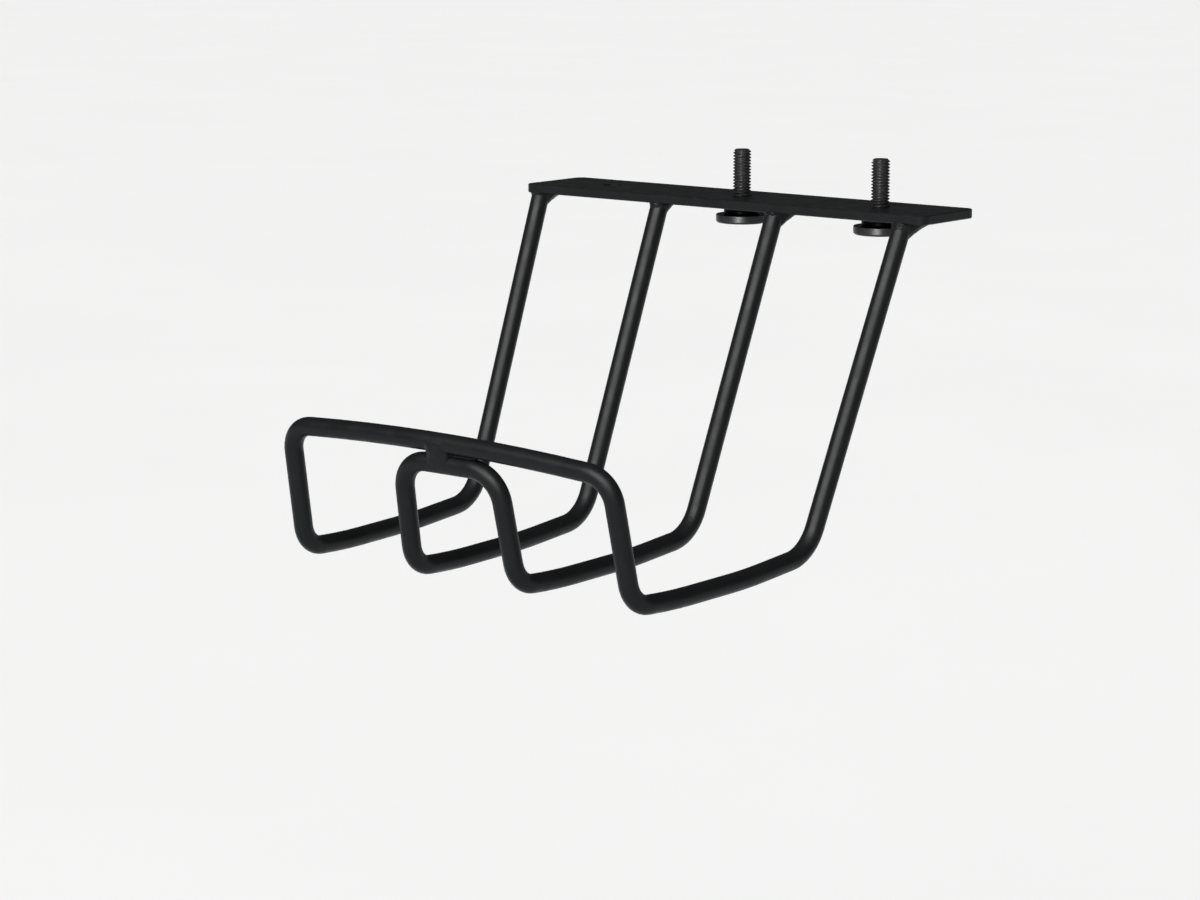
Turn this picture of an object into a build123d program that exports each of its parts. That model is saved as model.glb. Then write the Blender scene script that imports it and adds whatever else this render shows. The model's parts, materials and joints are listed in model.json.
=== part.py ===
from build123d import *
import os
from math import cos, radians, sin, tan

# Under-desk storage hook: two bent-wire hoops, a wide one and a narrow one, welded side by side under a
# flat strip that is screwed to the underside of a desk top. Each hoop comes down from the strip, turns
# forward into a tray and turns up into a front lip, where its crossbar stops things sliding out.
#
# Millimetres. The origin is the centre of the strip's top face, which bears on the desk.
# +Z is up, -Y is towards the user and +X is to the user's right.

# --- Driving dimensions: mounting strip ---
plate_length = 163.0
plate_depth = 30.0
plate_thickness = 3.0
plate_corner_radius = 3.0
plate_edge_break = 0.3
screw_pitch = 55.0
screw_hole_dia = 6.6

# --- Driving dimensions: bent wire, all measured to the wire's axis ---
wire_dia = 6.0
wire_setback = 3.5  # foot of the wire behind the strip's front edge
upright_lean = 23.1  # degrees forward of straight down
back_corner_drop = 100.0  # below the strip's underside
tray_back_drop = 102.5  # where the tray wire first bends upwards
tray_front_drop = 103.1  # where it bends again, its lowest corner point
front_corner_drop = 102.0
tray_back_reach = 73.5  # forward of the wire's foot
tray_front_reach = 109.0
front_corner_reach = 126.0
lip_lean = 10.9  # degrees forward of straight up
back_bend_radius = 14.5
tray_bend_radius = 230.0
front_bend_radius = 9.2

# Half the width of each hoop at its foot, at its back bend, at its front bend and at its crossbar, and
# how far it sits to the left of the strip's middle. The bar is bent and placed by hand.
outer_half_widths = (74.3, 69.1, 66.0, 64.0)
inner_half_widths = (23.6, 22.1, 20.9, 19.1)
outer_offset = 2.7
inner_offset = 1.6
outer_lip_heights = (40.6, 39.2)  # left and right end of the wide crossbar, which slopes a little
inner_lip_height = 35.4
outer_corner_radius = 9.5
inner_corner_radius = 10.4
outer_crown = 4.1  # the wide crossbar's middle corner point, above its ends
outer_crown_radius = 850.0

# --- Driving dimensions: welds ---
# Each foot's bead: radius of its round footprint on the strip, how far that footprint's centre lies
# behind the wire, and the bead's leg down the wire. The beads are laid by hand and differ in size.
outer_left_bead = (5.7, 3.6, 5.0)
inner_left_bead = (4.2, 2.0, 4.5)
inner_right_bead = (6.3, 5.0, 6.5)
outer_right_bead = (6.8, 6.0, 6.5)
bead_toe = 0.25  # thickness where a bead runs out, on the back of the wire
crossbar_weld_x = -4.2
crossbar_weld_rise = 1.7  # its middle above the groove between the two crossbars
crossbar_weld_width = 9.4
crossbar_weld_height = 9.6
crossbar_weld_corner = 3.4
crossbar_weld_proud = 0.6  # beyond the front of the two crossbars
crossbar_weld_crown = 2.4
crossbar_seam_end_x = 8.2  # the bead carries on to the right as a seam deep in the groove
crossbar_seam_height = 2.4
crossbar_seam_front = 1.0  # forward of the crossbars' axes

# --- Driving dimensions: fixing screws and their spring washers ---
thread_dia = 6.0
neck_dia = 5.2  # plain neck under the head, inside the washer and the strip
screw_length = 20.0  # under the collar
head_dia = 17.0
head_height = 2.8
head_edge_radius = 0.8
collar_dia = 11.8  # shoulder on the head, which presses on the spring washer
collar_height = 1.4
socket_across_flats = 4.0
socket_depth = 2.4
tip_chamfer = 0.8
washer_outer_dia = 11.8
washer_inner_dia = 6.4
washer_thickness = 1.6
washer_gap = 1.2
washer_gap_slant = 20.0  # degrees off the washer's axis

# --- Derived places ---
wire_radius = wire_dia / 2
foot_y = wire_setback - plate_depth / 2
underside = Plane.XY.offset(-plate_thickness)
hole_points = [(-screw_pitch, 0), (0, 0), (screw_pitch, 0)]
fitted_screw_points = hole_points[1:]
collar_top_z = -plate_thickness - washer_thickness
head_top_z = collar_top_z - collar_height


def wire_point(x, reach, drop):
    """Point on a hoop's axis, by its reach and drop from the wire's foot."""
    return (x, foot_y - reach, -plate_thickness - drop)


def upright_point(hoop, side, drop):
    """Point on the straight upright, or on its line carried on upwards when drop is negative."""
    half_widths, offset = hoop
    half_width = half_widths[0] + (half_widths[1] - half_widths[0]) * drop / back_corner_drop
    return wire_point(side * half_width - offset, drop * tan(radians(upright_lean)), drop)


def tray_point(hoop, side, reach, drop, towards_lip):
    """Corner point of the tray wire, part of the way from the back bend (0) to the lip (1)."""
    half_widths, offset = hoop
    half_width = half_widths[1] + (half_widths[2] - half_widths[1]) * towards_lip
    return wire_point(side * half_width - offset, reach, drop)


def lip_point(x, lip_height):
    """Point on the plane of the front lips, by its height above the lip's bottom corner."""
    reach = front_corner_reach + lip_height * tan(radians(lip_lean))
    return wire_point(x, reach, front_corner_drop - lip_height)


def hoop_side(hoop, side, lip_height):
    """Corner points of one side of a hoop, from above its foot to the end of its crossbar."""
    half_widths, offset = hoop
    return [
        upright_point(hoop, side, -plate_thickness),
        upright_point(hoop, side, back_corner_drop),
        tray_point(hoop, side, tray_back_reach, tray_back_drop, 0.25),
        tray_point(hoop, side, tray_front_reach, tray_front_drop, 0.75),
        tray_point(hoop, side, front_corner_reach, front_corner_drop, 1),
        lip_point(side * half_widths[3] - offset, lip_height),
    ]


outer_shape = (outer_half_widths, outer_offset)
inner_shape = (inner_half_widths, inner_offset)
outer_lip_height = sum(outer_lip_heights) / 2
side_bends = [back_bend_radius, tray_bend_radius, tray_bend_radius, front_bend_radius]

# --- Mounting strip ---
with BuildPart() as mounting_plate:
    with BuildSketch(underside):
        RectangleRounded(plate_length, plate_depth, plate_corner_radius)
    extrude(amount=plate_thickness)
    strip_faces = mounting_plate.faces().sort_by(Axis.Z)
    chamfer(strip_faces[0].edges() + strip_faces[-1].edges(), plate_edge_break)
    with BuildSketch(underside):
        with Locations(*hole_points):
            Circle(screw_hole_dia / 2)
    extrude(amount=plate_thickness, mode=Mode.SUBTRACT)

# --- Wide hoop: its crossbar is slightly bowed upwards ---
with BuildPart() as outer_hoop:
    outer_bends = side_bends + [outer_corner_radius]
    with BuildLine() as outer_path:
        FilletPolyline(
            *hoop_side(outer_shape, 1, outer_lip_heights[1]),
            lip_point(-outer_offset, outer_lip_height + outer_crown),
            *reversed(hoop_side(outer_shape, -1, outer_lip_heights[0])),
            radius=outer_bends + [outer_crown_radius] + outer_bends[::-1],
        )
    with BuildSketch(Plane(origin=outer_path.line @ 0, z_dir=outer_path.line % 0)):
        Circle(wire_radius)
    sweep(path=outer_path.line)
    split(bisect_by=underside, keep=Keep.BOTTOM)

# --- Narrow hoop ---
with BuildPart() as inner_hoop:
    inner_bends = side_bends + [inner_corner_radius]
    with BuildLine() as inner_path:
        FilletPolyline(
            *hoop_side(inner_shape, 1, inner_lip_height),
            *reversed(hoop_side(inner_shape, -1, inner_lip_height)),
            radius=inner_bends + inner_bends[::-1],
        )
    with BuildSketch(Plane(origin=inner_path.line @ 0, z_dir=inner_path.line % 0)):
        Circle(wire_radius)
    sweep(path=inner_path.line)
    split(bisect_by=underside, keep=Keep.BOTTOM)


# --- Weld beads between each wire's foot and the strip, mostly behind the wire ---
def foot_weld(shape, side, hoop, size):
    """Bead at one foot: a skirt from a round footprint down to the wire, with the wire taken out."""
    footprint_radius, footprint_back, leg = size
    x, y, z = upright_point(shape, side, 0)
    toe_x, toe_y, toe_z = upright_point(shape, side, leg * cos(radians(upright_lean)))
    with BuildPart() as bead:
        with BuildSketch(Plane((x, y + footprint_back, z))):
            Circle(footprint_radius)
        with BuildSketch(Plane((toe_x, toe_y + 2 * bead_toe, toe_z))):
            Circle(wire_radius - bead_toe)
        loft()
        add(hoop.part, mode=Mode.SUBTRACT)
    return bead.part


outer_left_weld = foot_weld(outer_shape, -1, outer_hoop, outer_left_bead)
inner_left_weld = foot_weld(inner_shape, -1, inner_hoop, inner_left_bead)
inner_right_weld = foot_weld(inner_shape, 1, inner_hoop, inner_right_bead)
outer_right_weld = foot_weld(outer_shape, 1, outer_hoop, outer_right_bead)

# --- Weld bead in the groove between the two crossbars, on the front of the lip ---
crossbar_gap_height = (outer_lip_height + outer_crown / 2 + inner_lip_height) / 2
groove_front = Vector(0, -cos(radians(lip_lean)), -sin(radians(lip_lean)))
bead_middle = lip_point(crossbar_weld_x, crossbar_gap_height + crossbar_weld_rise)
groove_plane = Plane(origin=bead_middle, x_dir=(1, 0, 0), z_dir=groove_front)
with BuildPart() as crossbar_weld:
    with BuildSketch(groove_plane):
        RectangleRounded(crossbar_weld_width, crossbar_weld_height, crossbar_weld_corner)
    extrude(amount=wire_radius + crossbar_weld_proud)
    front_face = crossbar_weld.faces().sort_by(Axis((0, 0, 0), groove_front))[-1]
    fillet(front_face.edges(), crossbar_weld_crown)
    with BuildSketch(groove_plane):
        seam_length = crossbar_seam_end_x - crossbar_weld_x
        with Locations((seam_length / 2, -crossbar_weld_rise / cos(radians(lip_lean)))):
            Rectangle(seam_length, crossbar_seam_height)
    extrude(amount=crossbar_seam_front)
    add(outer_hoop.part, mode=Mode.SUBTRACT)
    add(inner_hoop.part, mode=Mode.SUBTRACT)

# --- Fixing screws: wide low heads under the strip, threads standing up into the desk ---
with BuildPart() as fixing_screws:
    with BuildSketch(Plane.XY.offset(head_top_z)):
        with Locations(*fitted_screw_points):
            Circle(head_dia / 2)
    extrude(amount=-head_height)
    fillet(fixing_screws.edges().group_by(Axis.Z)[0], head_edge_radius)
    with BuildSketch(Plane.XY.offset(head_top_z - head_height)):
        with Locations(*fitted_screw_points):
            RegularPolygon(socket_across_flats / 2, 6, major_radius=False)
    extrude(amount=socket_depth, mode=Mode.SUBTRACT)
    with BuildSketch(Plane.XY.offset(head_top_z)):
        with Locations(*fitted_screw_points):
            Circle(collar_dia / 2)
    extrude(amount=collar_height)
    with BuildSketch(Plane.XY.offset(collar_top_z)):
        with Locations(*fitted_screw_points):
            Circle(neck_dia / 2)
    extrude(amount=-collar_top_z)
    with BuildSketch(Plane.XY):
        with Locations(*fitted_screw_points):
            Circle(thread_dia / 2)
    extrude(amount=screw_length + collar_top_z)
    chamfer(fixing_screws.edges().group_by(Axis.Z)[-1], tip_chamfer)

# --- Spring washers: flat rings with one slanted gap, between the strip and each collar ---
with BuildPart() as lock_washers:
    with BuildSketch(Plane.XY.offset(collar_top_z)):
        with Locations(*fitted_screw_points):
            Circle(washer_outer_dia / 2)
            Circle(washer_inner_dia / 2, mode=Mode.SUBTRACT)
    extrude(amount=washer_thickness)
    with Locations(*[(x, y, collar_top_z + washer_thickness / 2) for x, y in fitted_screw_points]):
        Box(
            washer_gap,
            washer_outer_dia,
            washer_thickness * 2,
            rotation=(0, washer_gap_slant, 0),
            align=(Align.CENTER, Align.MIN, Align.CENTER),
            mode=Mode.SUBTRACT,
        )

pieces = {
    "mounting_plate": mounting_plate.part,
    "outer_hoop": outer_hoop.part,
    "inner_hoop": inner_hoop.part,
    "outer_left_weld": outer_left_weld,
    "inner_left_weld": inner_left_weld,
    "inner_right_weld": inner_right_weld,
    "outer_right_weld": outer_right_weld,
    "crossbar_weld": crossbar_weld.part,
    "fixing_screws": fixing_screws.part,
    "lock_washers": lock_washers.part,
}

os.makedirs("parts", exist_ok=True)
for name, piece in pieces.items():
    piece.label = name
    export_step(piece, f"parts/{name}.step")
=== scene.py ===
import json
import math

import bmesh
import bpy
from mathutils import Euler, Matrix, Vector, noise


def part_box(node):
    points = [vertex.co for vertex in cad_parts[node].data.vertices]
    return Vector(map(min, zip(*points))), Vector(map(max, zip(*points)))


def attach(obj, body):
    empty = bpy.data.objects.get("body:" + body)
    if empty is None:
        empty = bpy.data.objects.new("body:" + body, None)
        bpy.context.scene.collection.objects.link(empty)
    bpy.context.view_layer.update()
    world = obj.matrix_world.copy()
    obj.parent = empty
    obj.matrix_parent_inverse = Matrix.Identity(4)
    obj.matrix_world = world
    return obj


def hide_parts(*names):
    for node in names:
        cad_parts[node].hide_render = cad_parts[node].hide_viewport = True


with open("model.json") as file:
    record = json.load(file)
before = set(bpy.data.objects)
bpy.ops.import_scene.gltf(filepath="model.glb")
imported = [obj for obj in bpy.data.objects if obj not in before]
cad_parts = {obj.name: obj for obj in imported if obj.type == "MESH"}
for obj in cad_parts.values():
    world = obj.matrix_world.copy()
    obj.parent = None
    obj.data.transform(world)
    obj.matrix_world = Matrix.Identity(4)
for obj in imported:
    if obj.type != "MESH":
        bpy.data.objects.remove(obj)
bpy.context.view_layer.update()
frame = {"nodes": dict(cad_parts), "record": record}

MM = 0.001
STRIP_THICKNESS = 3.0 * MM

# --- Camera: where it looks from, and the lens ---
VIEW_AZIMUTH = math.radians(39.1)
VIEW_PITCH = math.radians(10.5)
VIEW_AIM = Vector((6.3, -82.1, -73.0)) * MM
VIEW_DISTANCE = 1.0
LENS_MM = 95.6

# --- Colours ---
COAT_COLOUR = (0.0125, 0.0132, 0.014)
WELD_COLOUR = (0.012, 0.0127, 0.0135)
SCREW_COLOUR = (0.045, 0.045, 0.047)
WASHER_COLOUR = (0.018, 0.018, 0.019)

# --- Room: how bright it is below and above the horizon ---
ROOM_BELOW = 0.34
ROOM_BELOW_BEHIND = 0.90
ROOM_ABOVE = 0.04

# --- Welds ---
WELD_VOXEL = 0.22 * MM
WIRE_RADIUS = 3.0 * MM
WIRE_FOOT_Y = -11.5 * MM
UPRIGHT_LEAN = math.radians(23.1)
LIP_LEAN = math.radians(10.9)
OUTER_CONVERGE = 0.052  # sideways run of an upright for each unit of drop
INNER_CONVERGE = 0.015
BEAD_FRONT_LIP = 0.45 * MM  # the least that a bead reaches out along the strip
BEAD_BURY = 0.15 * MM  # how deep a bead's toes run into the strip and the wire
BEAD_HOLLOW = 0.34  # 0.5 would be a flat bead, less is hollow
BEAD_SIDES = 120
BEAD_STEPS = 14
GROOVE_MIDDLE = Vector((0, -144.97, -66.2)) * MM  # halfway between the crossbars' axes
CROSSBAR_SPREAD = 3.46 * MM  # each crossbar's axis above or below that
GROOVE_DIP = 0.5 * MM
PAD_ACROSS = -4.1 * MM
PAD_UP = 0.9 * MM
PAD_HALF_WIDTH = 4.7 * MM
PAD_HALF_HEIGHT = 4.7 * MM
PAD_RELIEF = 0.55 * MM
PAD_RIDGE_ACROSS = -6.6 * MM
PAD_RIDGE_WIDTH = 1.1 * MM
PAD_LUMP = 2.6 * MM
PAD_SHOULDER = 1.6 * MM  # how far the pad's sides fall back into the groove
PAD_BURY = 0.08 * MM  # how deep the pad's outline runs into the crossbars
PAD_SIDES = 96
PAD_RINGS = 24
SEAM_START = -1.0 * MM
SEAM_END = 8.2 * MM
SEAM_PUDDLES = 8
SEAM_PUDDLE_SIZE = Vector((2.0, 1.4, 1.0)) * MM
RIPPLES = 13
RIPPLE_HEIGHT = 0.14 * MM

# --- Screws: M6 with a wide flat head and a collar above it ---
THREAD_PITCH = 1.0 * MM
THREAD_DEPTH = 0.6 * MM
THREAD_RADIUS = 3.0 * MM
NECK_RADIUS = 2.6 * MM
HEAD_HEIGHT = 2.8 * MM
HEAD_EDGE = 0.8 * MM
COLLAR_RADIUS = 5.9 * MM
COLLAR_HEIGHT = 1.4 * MM
SOCKET_FLATS = 4.0 * MM
SOCKET_DEPTH = 2.4 * MM
SOCKET_CONE = 0.5 * MM
SOCKET_BREAK = 0.25 * MM
RIM_BREAK = 0.2 * MM
COLLAR_BREAK = 0.15 * MM
STEP = 0.3 * MM  # small round where two widths of a screw meet
HEAD_EDGE_STEPS = 8
SCREW_SIDES = 72


# ---------------------------------------------------------------- materials
class Shader:
    """Small helper that adds nodes to one new material."""

    def __init__(self, name):
        self.material = bpy.data.materials.new(name)
        self.material.use_nodes = True
        self.nodes = self.material.node_tree.nodes
        self.links = self.material.node_tree.links
        self.principled = self.nodes["Principled BSDF"]
        self.position = self.nodes.new("ShaderNodeTexCoord").outputs["Object"]

    def link(self, source, target):
        self.links.new(source, target)

    def noise(self, feature_mm, detail=2.0, roughness=0.5, stretch=None):
        """Noise whose features are about feature_mm across."""
        node = self.nodes.new("ShaderNodeTexNoise")
        node.inputs["Scale"].default_value = 1 / (feature_mm * MM)
        node.inputs["Detail"].default_value = detail
        node.inputs["Roughness"].default_value = roughness
        source = self.position
        if stretch:
            mapping = self.nodes.new("ShaderNodeMapping")
            mapping.inputs["Scale"].default_value = stretch
            self.link(self.position, mapping.inputs["Vector"])
            source = mapping.outputs["Vector"]
        self.link(source, node.inputs["Vector"])
        return node.outputs["Fac"]

    def specks(self, spacing_mm, size, share):
        """Mask of small round specks: one cell in every 1/share holds one."""
        cells = self.nodes.new("ShaderNodeTexVoronoi")
        cells.inputs["Scale"].default_value = 1 / (spacing_mm * MM)
        self.link(self.position, cells.inputs["Vector"])
        near = self.ramp(cells.outputs["Distance"], [(size * 0.6, 1.0), (size, 0.0)])
        split = self.nodes.new("ShaderNodeSeparateColor")
        self.link(cells.outputs["Color"], split.inputs["Color"])
        chosen = self.math("LESS_THAN", split.outputs["Red"], share)
        return self.math("MULTIPLY", near, chosen)

    def math(self, operation, a, b):
        node = self.nodes.new("ShaderNodeMath")
        node.operation = operation
        for socket, value in zip(node.inputs, (a, b)):
            if isinstance(value, (int, float)):
                socket.default_value = value
            else:
                self.link(value, socket)
        return node.outputs["Value"]

    def ramp(self, source, stops):
        """Grey ramp from (position, value) stops."""
        node = self.nodes.new("ShaderNodeValToRGB")
        points = node.color_ramp.elements
        for index, (place, value) in enumerate(stops):
            point = points[index] if index < 2 else points.new(place)
            point.position = place
            point.color = (value, value, value, 1)
        self.link(source, node.inputs["Fac"])
        return node.outputs["Color"]

    def mix(self, factor, a, b):
        """Colour mix: a where factor is 0, b where it is 1."""
        node = self.nodes.new("ShaderNodeMix")
        node.data_type = "RGBA"
        for name, value in (("Factor", factor), ("A", a), ("B", b)):
            socket = next(s for s in node.inputs if s.name == name and s.enabled)
            if isinstance(value, tuple):
                socket.default_value = (*value, 1)
            elif isinstance(value, float):
                socket.default_value = value
            else:
                self.link(value, socket)
        return next(s for s in node.outputs if s.enabled)

    def bump(self, height, distance_mm, strength=1.0, base=None):
        node = self.nodes.new("ShaderNodeBump")
        node.inputs["Distance"].default_value = distance_mm * MM
        node.inputs["Strength"].default_value = strength
        self.link(height, node.inputs["Height"])
        if base is not None:
            self.link(base, node.inputs["Normal"])
        return node.outputs["Normal"]

    def edges(self, radius_mm):
        """Mask that is 1 on sharp edges, from how far a rounded normal turns away from the real one."""
        rounded = self.nodes.new("ShaderNodeBevel")
        rounded.samples = 4
        rounded.inputs["Radius"].default_value = radius_mm * MM
        geometry = self.nodes.new("ShaderNodeNewGeometry")
        dot = self.nodes.new("ShaderNodeVectorMath")
        dot.operation = "DOT_PRODUCT"
        self.link(rounded.outputs["Normal"], dot.inputs[0])
        self.link(geometry.outputs["Normal"], dot.inputs[1])
        return self.ramp(dot.outputs["Value"], [(0.90, 1.0), (0.995, 0.0)])


def powder_coat(name, base, lump_mm=0.0, gloss=0.40):
    """Satin black powder coat: orange peel, fine grain, uneven sheen, pinholes with painted shade in them
    and a little dust.
    """
    coat = Shader(name)
    patches = coat.noise(14, detail=3)
    tone = coat.mix(patches, tuple(c * 0.82 for c in base), tuple(c * 1.25 for c in base))
    dust = coat.specks(2.6, 0.075, 0.05)
    tone = coat.mix(dust, tone, (0.16, 0.16, 0.155))
    # Pinholes: pressed in by the bump further down, and painted near black as painted shade inside them.
    shaded_pinholes = coat.specks(1.7, 0.10, 0.06)
    tone = coat.mix(shaded_pinholes, tone, (0.004, 0.004, 0.004))
    rubbed = coat.ramp(coat.noise(3.5), [(0.52, 0.0), (0.66, 0.55)])
    worn = coat.math("MULTIPLY", coat.edges(0.35), rubbed)
    tone = coat.mix(worn, tone, (0.055, 0.056, 0.058))
    coat.link(tone, coat.principled.inputs["Base Color"])
    sheen = coat.ramp(coat.noise(6, detail=4), [(0.3, gloss - 0.06), (0.7, gloss + 0.09)])
    coat.link(sheen, coat.principled.inputs["Roughness"])
    coat.principled.inputs["IOR"].default_value = 1.48
    normal = coat.bump(coat.noise(1.3, detail=1), 0.035)
    normal = coat.bump(coat.noise(0.28, detail=2, roughness=0.6), 0.016, base=normal)
    if lump_mm:
        normal = coat.bump(coat.noise(lump_mm, detail=3, roughness=0.6), 0.09, base=normal)
    normal = coat.bump(coat.math("SUBTRACT", dust, shaded_pinholes), 0.04, base=normal)
    coat.link(normal, coat.principled.inputs["Normal"])
    return coat.material


def black_steel(name, base, gloss, grain_mm, ring_scratches=False, painted_shade_above_mm=None):
    """Black oxide on turned steel: fine scratches, brighter worn edges, and, when asked, painted shade
    close under the strip (near black, no specular).
    """
    steel = Shader(name)
    patches = steel.noise(3, detail=4)
    tone = steel.mix(patches, tuple(c * 0.7 for c in base), tuple(c * 1.5 for c in base))
    rubbed = steel.ramp(steel.noise(1.2), [(0.45, 0.0), (0.65, 0.8)])
    worn = steel.math("MULTIPLY", steel.edges(0.25), rubbed)
    tone = steel.mix(worn, tone, (0.20, 0.195, 0.19))
    steel.principled.inputs["Metallic"].default_value = 0.55
    # Painted shade: from this height up to the strip's underside the steel is painted near black and its
    # specular is turned off, in place of the strip's shadow.
    if painted_shade_above_mm is not None:
        height = steel.nodes.new("ShaderNodeSeparateXYZ")
        steel.link(steel.position, height.inputs["Vector"])
        above = steel.math("GREATER_THAN", height.outputs["Z"], painted_shade_above_mm * MM)
        under_strip = steel.math("LESS_THAN", height.outputs["Z"], -STRIP_THICKNESS)
        painted_shade = steel.math("MULTIPLY", above, under_strip)
        tone = steel.mix(painted_shade, tone, (0.003, 0.003, 0.003))
        shine = steel.math("MULTIPLY", steel.math("SUBTRACT", 1.0, painted_shade), 0.5)
        steel.link(shine, steel.principled.inputs["Specular IOR Level"])
    steel.link(tone, steel.principled.inputs["Base Color"])
    stretch = (1, 1, 14) if ring_scratches else (9, 1, 1)
    scratches = steel.noise(0.9, detail=5, roughness=0.7, stretch=stretch)
    sheen = steel.ramp(scratches, [(0.3, gloss - 0.1), (0.7, gloss + 0.12)])
    steel.link(sheen, steel.principled.inputs["Roughness"])
    normal = steel.bump(scratches, 0.012)
    normal = steel.bump(steel.noise(0.3, detail=2), grain_mm, base=normal)
    steel.link(normal, steel.principled.inputs["Normal"])
    return steel.material


def pale_floor():
    """Matt pale floor with a barely visible mottle."""
    floor = Shader("pale_floor")
    tone = floor.mix(floor.noise(260, detail=3), (0.86, 0.86, 0.855), (0.89, 0.89, 0.885))
    floor.link(tone, floor.principled.inputs["Base Color"])
    floor.principled.inputs["Roughness"].default_value = 0.9
    return floor.material


MATERIALS = {
    "powder_coat": powder_coat("satin_powder_coat", COAT_COLOUR),
    "coated_weld": powder_coat("powder_coated_weld", WELD_COLOUR, lump_mm=0.8, gloss=0.36),
    "black_screw": black_steel(
        "black_oxide_screw",
        SCREW_COLOUR,
        gloss=0.36,
        grain_mm=0.035,
        ring_scratches=True,
        # painted shade on the screws' collars, from -6.1 mm up to the strip's underside
        painted_shade_above_mm=-6.1,
    ),
    "black_washer": black_steel("black_spring_steel", WASHER_COLOUR, gloss=0.42, grain_mm=0.012),
}
SLOT_OF = {part["node"]: part["material_slot"] for part in frame["record"]["subparts"]}


def wear(piece, slot):
    """Gives a piece the slot's material."""
    piece.data.materials.clear()
    piece.data.materials.append(MATERIALS[slot])


# ---------------------------------------------------------------- mesh helpers
def new_piece(name, mesh_maker, node):
    """Makes a mesh object that stands for a CAD node: mesh_maker fills a bmesh."""
    mesh = bpy.data.meshes.new(name)
    shape = bmesh.new()
    mesh_maker(shape)
    shape.normal_update()
    shape.to_mesh(mesh)
    shape.free()
    piece = bpy.data.objects.new(name, mesh)
    bpy.context.scene.collection.objects.link(piece)
    slot = SLOT_OF[node]
    wear(piece, slot)
    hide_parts(node)
    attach(piece, "root")
    return piece


def apply_modifiers(piece):
    """Bakes a piece's modifiers into its mesh."""
    graph = bpy.context.evaluated_depsgraph_get()
    baked = bpy.data.meshes.new_from_object(piece.evaluated_get(graph))
    piece.modifiers.clear()
    piece.data = baked


def fuse(piece, voxel, smooth_steps):
    """Melts a piece's overlapping closed shells into one skin."""
    remesh = piece.modifiers.new("fuse", "REMESH")
    remesh.mode = "VOXEL"
    remesh.voxel_size = voxel
    soften = piece.modifiers.new("soften", "SMOOTH")
    soften.factor = 0.5
    soften.iterations = smooth_steps
    apply_modifiers(piece)


def roughen(piece, feature, height, seed):
    """Moves each point along its normal by smooth noise: feature and height in metres."""
    normals = [v.normal.copy() for v in piece.data.vertices]
    shift = Vector((seed * 7.3, seed * 3.1, seed * 5.7))
    for vertex, normal in zip(piece.data.vertices, normals):
        wave = noise.noise(vertex.co / feature + shift)
        fine = noise.noise(vertex.co / (feature * 0.4) + shift)
        vertex.co += normal * height * (wave + 0.4 * fine)
    piece.data.update()
    for polygon in piece.data.polygons:
        polygon.use_smooth = True


def add_blob(shape, centre, size, turn):
    """Adds one ellipsoid puddle of weld metal."""
    place = Matrix.LocRotScale(centre, turn, size)
    bmesh.ops.create_uvsphere(shape, u_segments=24, v_segments=16, radius=1, matrix=place)


# ---------------------------------------------------------------- welds
def footprint_reach(node, foot, outward):
    """How far the CAD bead's round footprint reaches from the foot's centre in one direction."""
    low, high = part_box(node)
    radius = (high.x - low.x) / 2
    centre = Vector(((low.x + high.x) / 2, high.y - radius, high.z))
    along = (centre - foot).dot(outward)
    return along + math.sqrt(max(0, radius ** 2 - (centre - foot).length_squared + along ** 2))


def foot_weld(node, converge, front_leg, seed):
    """Hand-laid fillet bead round a wire's foot: long behind it, short in front, with crescent ripples."""
    low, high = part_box(node)
    foot = Vector(((low.x + high.x) / 2, WIRE_FOOT_Y, high.z))
    down = Vector((converge, -math.tan(UPRIGHT_LEAN), -1)).normalized()
    back_leg = (high.z - low.z) / math.cos(UPRIGHT_LEAN)

    def section(angle):
        """Closed section of the bead at one angle round the wire; angle 0 is straight behind."""
        outward = Vector((math.sin(angle), math.cos(angle), 0))
        skin = 1 / math.hypot(outward.x / WIRE_RADIUS, outward.y * math.cos(UPRIGHT_LEAN) / WIRE_RADIUS)
        wander = noise.noise(Vector((seed * 3.7, 1.6 * outward.x, 1.6 * outward.y)))
        behind = (0.5 + 0.5 * outward.y) ** 1.6
        strip_leg = max(BEAD_FRONT_LIP, footprint_reach(node, foot, outward) - skin) * (1 + 0.10 * wander)
        wire_leg = (front_leg + (back_leg - front_leg) * behind) * (1 + 0.12 * wander)
        corner = foot + outward * skin
        strip_toe = corner + outward * strip_leg + Vector((0, 0, BEAD_BURY))
        wire_toe = corner + down * wire_leg - outward * BEAD_BURY
        elbow = corner + (outward * strip_leg + down * wire_leg) * BEAD_HOLLOW
        ripple = RIPPLE_HEIGHT * abs(math.sin(angle * RIPPLES / 2 + 2 * wander))
        points = []
        for step in range(BEAD_STEPS + 1):
            t = step / BEAD_STEPS
            curve = strip_toe * (1 - t) ** 2 + elbow * 2 * t * (1 - t) + wire_toe * t ** 2
            points.append(curve + outward * ripple * 4 * t * (1 - t))
        inside = foot + outward * skin * 0.5
        return points + [inside + down * wire_leg * 0.9, inside + Vector((0, 0, BEAD_BURY))]

    def build(shape):
        sections = []
        for side in range(BEAD_SIDES):
            angle = 2 * math.pi * side / BEAD_SIDES
            sections.append([shape.verts.new(point) for point in section(angle)])
        for this, following in zip(sections, sections[1:] + sections[:1]):
            for index in range(len(this)):
                after = (index + 1) % len(this)
                shape.faces.new((this[index], this[after], following[after], following[index]))
        bmesh.ops.recalc_face_normals(shape, faces=shape.faces)

    piece = new_piece(node + "_bead", build, node)
    roughen(piece, feature=1.1 * MM, height=0.10 * MM, seed=seed)
    return piece


def groove_point(across, up, forward):
    """Point given by its place on the lip's plane, from the middle of the groove between the crossbars."""
    rise = Vector((0, -math.sin(LIP_LEAN), math.cos(LIP_LEAN)))
    front = Vector((0, -math.cos(LIP_LEAN), -math.sin(LIP_LEAN)))
    return GROOVE_MIDDLE + Vector((across, 0, 0)) + rise * up + front * forward


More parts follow.
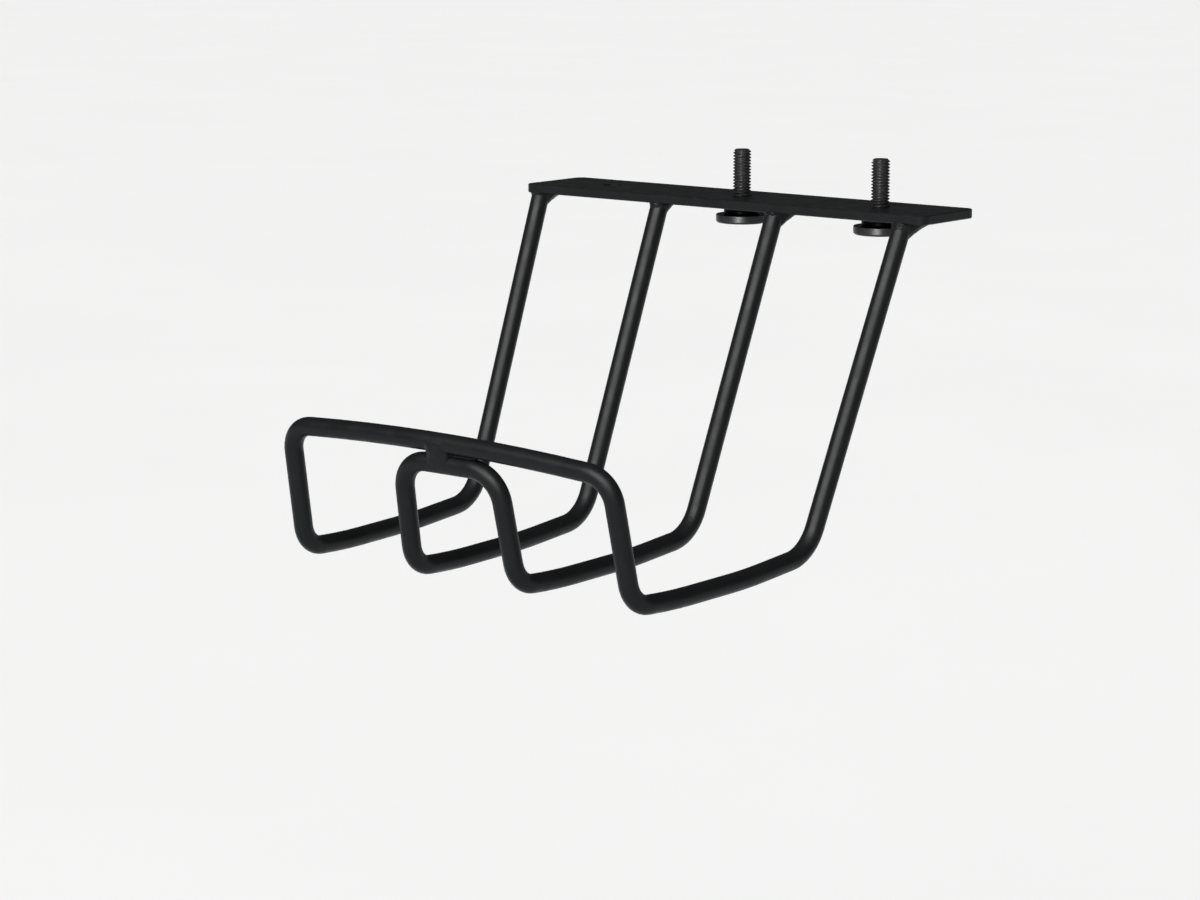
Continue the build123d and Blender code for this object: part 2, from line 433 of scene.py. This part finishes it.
def filled_front(up):
    """How far forward the two crossbars' front reaches, with the groove between them almost filled."""
    if abs(up) < CROSSBAR_SPREAD:
        return WIRE_RADIUS - GROOVE_DIP * (1 - (up / CROSSBAR_SPREAD) ** 2) ** 2
    return math.sqrt(max(0, WIRE_RADIUS ** 2 - (abs(up) - CROSSBAR_SPREAD) ** 2))


def squarish(value):
    """Pushes a sine or cosine outwards, so that a circle becomes a rounded square."""
    return math.copysign(abs(value) ** 0.62, value)


def pad_point(ring, angle):
    """Point on the crossbar bead's front: ring 0 is its middle and ring 1 its feathered outline."""
    wobble = 1 + 0.12 * noise.noise(Vector((1.4 * math.cos(angle), 1.4 * math.sin(angle), 5.3)))
    across = PAD_ACROSS + PAD_HALF_WIDTH * ring * wobble * squarish(math.cos(angle))
    up = PAD_UP + PAD_HALF_HEIGHT * ring * wobble * squarish(math.sin(angle))
    lumps = noise.noise(Vector((across, up, 0)) / PAD_LUMP)
    ridge = math.exp(-((across - PAD_RIDGE_ACROSS) / PAD_RIDGE_WIDTH) ** 2)
    relief = PAD_RELIEF * (1 - ring ** 2) ** 1.5 * (1 + 0.35 * lumps + 0.45 * ridge)
    in_groove = max(0, 1 - (up / CROSSBAR_SPREAD) ** 2)
    rounding = PAD_SHOULDER * in_groove * max(0, (ring - 0.8) / 0.2) ** 2
    return groove_point(across, up, filled_front(up) + relief - rounding - PAD_BURY * ring ** 4)


def crossbar_weld(node):
    """Bead over the crossbars' groove: a low pad that feathers out on both bars, and a seam beside it."""

    def build(shape):
        rings = []
        for step in range(1, PAD_RINGS + 1):
            ring = []
            for side in range(PAD_SIDES):
                angle = 2 * math.pi * side / PAD_SIDES
                ring.append(shape.verts.new(pad_point(step / PAD_RINGS, angle)))
            rings.append(ring)
        back = []
        for vertex in rings[-1]:
            offset = vertex.co - GROOVE_MIDDLE
            up = offset.z * math.cos(LIP_LEAN) - offset.y * math.sin(LIP_LEAN)
            back.append(shape.verts.new(groove_point(offset.x, up * 0.9, 0)))
        rings.append(back)
        front_middle = shape.verts.new(pad_point(0, 0))
        back_middle = shape.verts.new(groove_point(PAD_ACROSS, PAD_UP, 0))
        for side in range(PAD_SIDES):
            after = (side + 1) % PAD_SIDES
            shape.faces.new((front_middle, rings[0][side], rings[0][after]))
            shape.faces.new((back_middle, back[after], back[side]))
            for inner, outer in zip(rings, rings[1:]):
                shape.faces.new((inner[side], outer[side], outer[after], inner[after]))
        bmesh.ops.recalc_face_normals(shape, faces=shape.faces)
        for step in range(SEAM_PUDDLES):
            across = SEAM_START + (SEAM_END - SEAM_START) * step / (SEAM_PUDDLES - 1)
            wander = noise.noise(Vector((step * 1.7, 0.4, 8.1)))
            centre = groove_point(across, 0, (0.4 * wander - 0.5) * MM)
            add_blob(shape, centre, SEAM_PUDDLE_SIZE, Euler((LIP_LEAN, 0, 0)))

    piece = new_piece(node + "_bead", build, node)
    fuse(piece, WELD_VOXEL, smooth_steps=3)
    roughen(piece, feature=1.6 * MM, height=0.05 * MM, seed=11)
    return piece


# ---------------------------------------------------------------- screws
def hexagon(across_flats, angle):
    """Radius of a hexagon at an angle."""
    sector = math.radians(60)
    return across_flats / 2 / math.cos((angle % sector) - sector / 2)


def screw_rings(head_radius, low_z, tip):
    """Rings of a screw from its socket's floor, round its head and collar, and up its thread to its tip."""
    rim_z = low_z + HEAD_HEIGHT
    collar_z = rim_z + COLLAR_HEIGHT
    floor_z = low_z + SOCKET_DEPTH
    rings = [
        (lambda a: 0.0, floor_z + SOCKET_CONE),
        (lambda a: hexagon(SOCKET_FLATS, a) * 0.97, floor_z),
        (lambda a: hexagon(SOCKET_FLATS, a), low_z + SOCKET_BREAK),
        (lambda a: hexagon(SOCKET_FLATS, a) + SOCKET_BREAK, low_z),
        (lambda a: head_radius - HEAD_EDGE - STEP, low_z),
    ]
    for step in range(HEAD_EDGE_STEPS + 1):
        turn = math.radians(90 * step / HEAD_EDGE_STEPS)
        radius = head_radius - HEAD_EDGE * (1 - math.sin(turn))
        rings.append((lambda a, r=radius: r, low_z + HEAD_EDGE * (1 - math.cos(turn))))
    rings += [
        (lambda a: head_radius, rim_z - RIM_BREAK),
        (lambda a: head_radius - RIM_BREAK, rim_z),
        (lambda a: COLLAR_RADIUS + STEP, rim_z),
        (lambda a: COLLAR_RADIUS, rim_z + STEP),
        (lambda a: COLLAR_RADIUS, collar_z - COLLAR_BREAK),
        (lambda a: COLLAR_RADIUS - COLLAR_BREAK, collar_z),
        (lambda a: NECK_RADIUS + STEP, collar_z),
        (lambda a: NECK_RADIUS, collar_z + STEP),
        (lambda a: NECK_RADIUS, -0.8 * MM),
    ]
    rings += thread_rings(-0.4 * MM, tip)
    rings.append((lambda a: 0.0, tip))
    return rings


def thread_rings(start, tip):
    """Rings of a helical thread whose ridge is chamfered away at the tip."""
    rows_per_turn = 12
    chamfer = 0.8 * MM
    rows = round((tip - start) / THREAD_PITCH * rows_per_turn)

    def ring(z):
        def radius(angle):
            phase = (z / THREAD_PITCH - angle / (2 * math.pi)) % 1
            ridge = min(1, max(0, 1.25 - 2.5 * abs(phase - 0.5) * 1.15))
            depth = THREAD_DEPTH * (1 - ridge)
            limit = THREAD_RADIUS - max(0, z - (tip - chamfer)) * 1.0
            return min(THREAD_RADIUS - depth, limit)
        return radius

    heights = [start + (tip - start) * row / rows for row in range(rows + 1)]
    return [(ring(z), z) for z in heights]


def screws(node):
    """Both fixing screws in one mesh, one at each end of the CAD node's box."""
    low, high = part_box(node)
    head_radius = (high.y - low.y) / 2
    centres = (low.x + head_radius, high.x - head_radius)
    y = (low.y + high.y) / 2

    def build(shape):
        for x in centres:
            grid = []
            for radius, z in screw_rings(head_radius, low.z, high.z):
                row = []
                for side in range(SCREW_SIDES):
                    angle = 2 * math.pi * side / SCREW_SIDES
                    r = radius(angle)
                    row.append(shape.verts.new((x + r * math.cos(angle), y + r * math.sin(angle), z)))
                grid.append(row)
            for lower, upper in zip(grid, grid[1:]):
                for side in range(SCREW_SIDES):
                    following = (side + 1) % SCREW_SIDES
                    shape.faces.new((lower[side], lower[following], upper[following], upper[side]))
        bmesh.ops.remove_doubles(shape, verts=shape.verts, dist=0.0005 * MM)
        bmesh.ops.recalc_face_normals(shape, faces=shape.faces)

    piece = new_piece("fixing_screws_threaded", build, node)
    for polygon in piece.data.polygons:
        polygon.use_smooth = True
    piece.data.set_sharp_from_angle(angle=math.radians(38))
    return piece


# ---------------------------------------------------------------- stage
def lit_only(lamp, pieces):
    """Makes a lamp light only the given pieces."""
    group = bpy.data.collections.new(lamp.name + "_reach")
    for piece in pieces:
        group.objects.link(piece)
    lamp.light_linking.receiver_collection = group


def facing(azimuth, elevation):
    """Unit vector from the hook towards a light; azimuth 0 is straight in front of it."""
    turn, rise = math.radians(azimuth), math.radians(elevation)
    return Vector((math.sin(turn) * math.cos(rise), -math.cos(turn) * math.cos(rise), math.sin(rise)))


def softbox(name, azimuth, elevation, distance, width, height, power):
    """Rectangular area light that faces the hook."""
    away = facing(azimuth, elevation)
    light = bpy.data.lights.new(name, "AREA")
    light.shape = "RECTANGLE"
    light.size = width
    light.size_y = height
    light.energy = power
    lamp = bpy.data.objects.new(name, light)
    lamp.location = VIEW_AIM + away * distance
    lamp.rotation_euler = (-away).to_track_quat("-Z", "Y").to_euler()
    bpy.context.scene.collection.objects.link(lamp)
    return lamp


def floor_wash(azimuth, elevation, strength):
    """Very soft distant light for the floor."""
    light = bpy.data.lights.new("wash", "SUN")
    light.angle = math.radians(70)
    light.energy = strength
    lamp = bpy.data.objects.new("wash", light)
    lamp.rotation_euler = (-facing(azimuth, elevation)).to_track_quat("-Z", "Y").to_euler()
    bpy.context.scene.collection.objects.link(lamp)
    return lamp


def surroundings():
    """Pale world for the camera; for shading, a dim room, paler below and most of all behind the hook."""
    world = bpy.data.worlds.new("studio")
    bpy.context.scene.world = world
    world.use_nodes = True
    nodes, links = world.node_tree.nodes, world.node_tree.links

    def graded(source, start, end, low, high):
        """Strength that goes from low to high as the source goes from start to end."""
        grade = nodes.new("ShaderNodeMapRange")
        grade.interpolation_type = "SMOOTHSTEP"
        for name, value in (("From Min", start), ("From Max", end), ("To Min", low), ("To Max", high)):
            socket = grade.inputs[name]
            if isinstance(value, float):
                socket.default_value = value
            else:
                links.new(value, socket)
        links.new(source, grade.inputs["Value"])
        return grade.outputs["Result"]

    direction = nodes.new("ShaderNodeTexCoord")
    turned = nodes.new("ShaderNodeMapping")
    turned.inputs["Rotation"].default_value = (0, 0, -VIEW_AZIMUTH)
    links.new(direction.outputs["Generated"], turned.inputs["Vector"])
    split = nodes.new("ShaderNodeSeparateXYZ")
    links.new(turned.outputs["Vector"], split.inputs["Vector"])
    below = graded(split.outputs["Y"], 0.2, 0.9, ROOM_BELOW, ROOM_BELOW_BEHIND)
    strength = graded(split.outputs["Z"], -0.25, 0.15, below, ROOM_ABOVE)
    room = nodes["Background"]
    room.inputs["Color"].default_value = (0.95, 0.98, 1, 1)
    links.new(strength, room.inputs["Strength"])
    pale = nodes.new("ShaderNodeBackground")
    pale.inputs["Color"].default_value = (0.9, 0.9, 0.9, 1)
    rays = nodes.new("ShaderNodeLightPath")
    mix = nodes.new("ShaderNodeMixShader")
    links.new(rays.outputs["Is Camera Ray"], mix.inputs["Fac"])
    links.new(room.outputs["Background"], mix.inputs[1])
    links.new(pale.outputs["Background"], mix.inputs[2])
    links.new(mix.outputs["Shader"], nodes["World Output"].inputs["Surface"])


def floor():
    """Large pale floor well below the hook, kept out of its reflections and its bounce light."""
    half = 40.0
    drop = 0.40
    mesh = bpy.data.meshes.new("floor")
    corners = [(-half, -half, -drop), (half, -half, -drop), (half, half, -drop), (-half, half, -drop)]
    mesh.from_pydata(corners, [], [(0, 1, 2, 3)])
    piece = bpy.data.objects.new("floor", mesh)
    piece.data.materials.append(pale_floor())
    piece.visible_glossy = False
    piece.visible_diffuse = False
    bpy.context.scene.collection.objects.link(piece)
    return piece


def camera():
    """Camera in front of the hook, to its right and a little above it."""
    away = Vector((
        math.sin(VIEW_AZIMUTH) * math.cos(VIEW_PITCH),
        -math.cos(VIEW_AZIMUTH) * math.cos(VIEW_PITCH),
        math.sin(VIEW_PITCH),
    ))
    lens = bpy.data.cameras.new("camera")
    lens.sensor_width = 36
    lens.lens = LENS_MM
    lens.clip_start = 0.01
    eye = bpy.data.objects.new("camera", lens)
    eye.location = VIEW_AIM + away * VIEW_DISTANCE
    eye.rotation_euler = (-away).to_track_quat("-Z", "Y").to_euler()
    bpy.context.scene.collection.objects.link(eye)
    bpy.context.scene.camera = eye


# ---------------------------------------------------------------- the scene
for cad_node, cad_object in frame["nodes"].items():
    wear(cad_object, SLOT_OF[cad_node])

foot_weld("outer_left_weld", OUTER_CONVERGE, 1.0 * MM, 1)
foot_weld("inner_left_weld", INNER_CONVERGE, 1.8 * MM, 2)
foot_weld("inner_right_weld", -INNER_CONVERGE, 1.1 * MM, 3)
foot_weld("outer_right_weld", -OUTER_CONVERGE, 2.3 * MM, 4)
crossbar_weld("crossbar_weld")
threaded_screws = screws("fixing_screws")

hook_pieces = [piece for piece in bpy.context.scene.objects if piece.type == "MESH"]
surroundings()
ground = floor()
view_side = math.degrees(VIEW_AZIMUTH)
key = softbox("key", view_side - 25, 38, distance=1.5, width=1.9, height=1.0, power=22)
lit_only(key, hook_pieces)
glint = softbox("glint", view_side - 16, -8, distance=1.5, width=0.25, height=0.25, power=16)
lit_only(glint, [threaded_screws])
lit_only(floor_wash(view_side - 28, 60, strength=3.7), [ground])
camera()

bpy.context.scene.view_settings.view_transform = "Standard"
